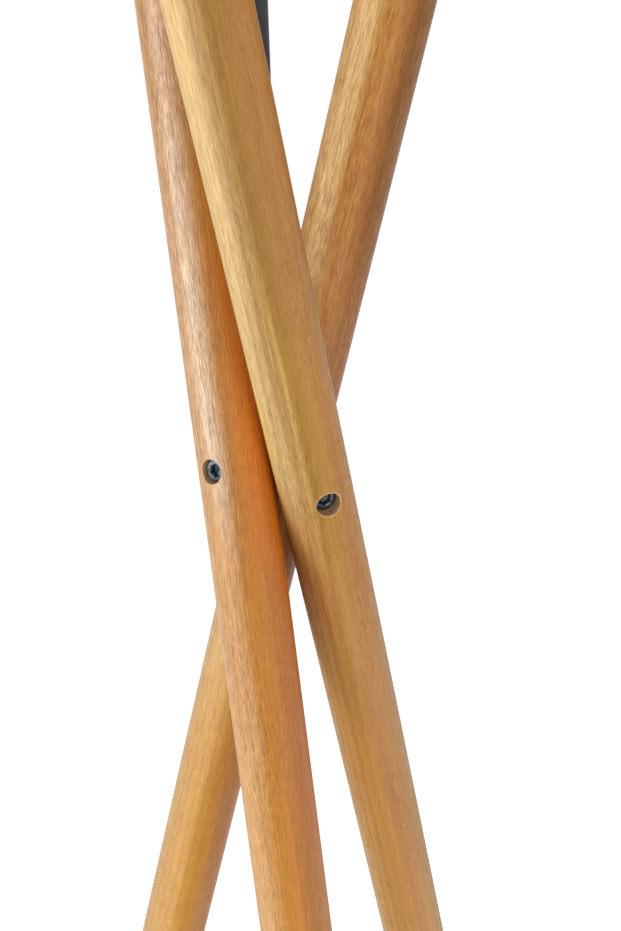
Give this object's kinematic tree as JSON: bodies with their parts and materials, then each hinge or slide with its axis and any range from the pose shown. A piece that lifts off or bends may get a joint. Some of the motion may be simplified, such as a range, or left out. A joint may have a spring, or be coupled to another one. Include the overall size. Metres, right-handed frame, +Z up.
{
  "type": "tripod kicking dummy",
  "caption": "Free-standing training dummy of round hardwood poles crossed as a tripod, pinned by counterbored screws, with rubber feet and a taut tether cord.",
  "frame": {"origin": "on the floor, in the middle of the box round the feet", "axes": "+Z up; the left and right poles cross in front of the rear pole when seen along +Y"},
  "size_m": [0.4582, 0.4422, 1.4562],
  "materials": {
    "rear_pole_wood": "oiled satin",
    "left_pole_wood": "oiled satin",
    "right_pole_wood": "oiled satin",
    "foot_rubber": "matte moulded",
    "zinc_steel": "zinc plated",
    "black_screw_steel": "black oxide",
    "black_washer_steel": "black oxide",
    "spacer_nylon": "matte",
    "insert_brass": "machined",
    "black_wire_steel": "satin black coating",
    "cord_braid": "braided"
  },
  "bodies": {
    "rear_leg": {"rear_pole": "rear_pole_wood", "rear_foot": "foot_rubber", "rear_foot_disc": "zinc_steel", "left_pivot_screw": "black_screw_steel", "right_pivot_screw": "black_screw_steel", "left_head_washer": "black_washer_steel", "right_head_washer": "black_washer_steel", "left_spacer": "spacer_nylon", "right_spacer": "spacer_nylon", "left_threaded_insert": "insert_brass", "right_threaded_insert": "insert_brass", "tether_eye": "black_wire_steel", "lower_cord_end": "black_wire_steel", "tether_cord": "cord_braid", "upper_cord_end": "black_wire_steel", "ceiling_hook": "black_wire_steel"},
    "left_leg": {"left_pole": "left_pole_wood", "left_foot": "foot_rubber", "left_foot_disc": "zinc_steel"},
    "right_leg": {"right_pole": "right_pole_wood", "right_foot": "foot_rubber", "right_foot_disc": "zinc_steel"}
  },
  "joints": [
    {"name": "left_leg_fold", "type": "hinge", "parent": "rear_leg", "child": "left_leg", "pos_m": [-0.00772, 0.03232, 0.91088], "axis": [0.6636, 0.737, -0.1286], "range_deg": [0, 23.2]},
    {"name": "right_leg_fold", "type": "hinge", "parent": "rear_leg", "child": "right_leg", "pos_m": [0.04471, 0.01949, 0.89689], "axis": [-0.3064, 0.9432, 0.1286], "range_deg": [0, 23.2]}
  ],
  "couplings": [
    {"joint": "right_leg_fold", "follows": "left_leg_fold", "ratio": 1}
  ]
}
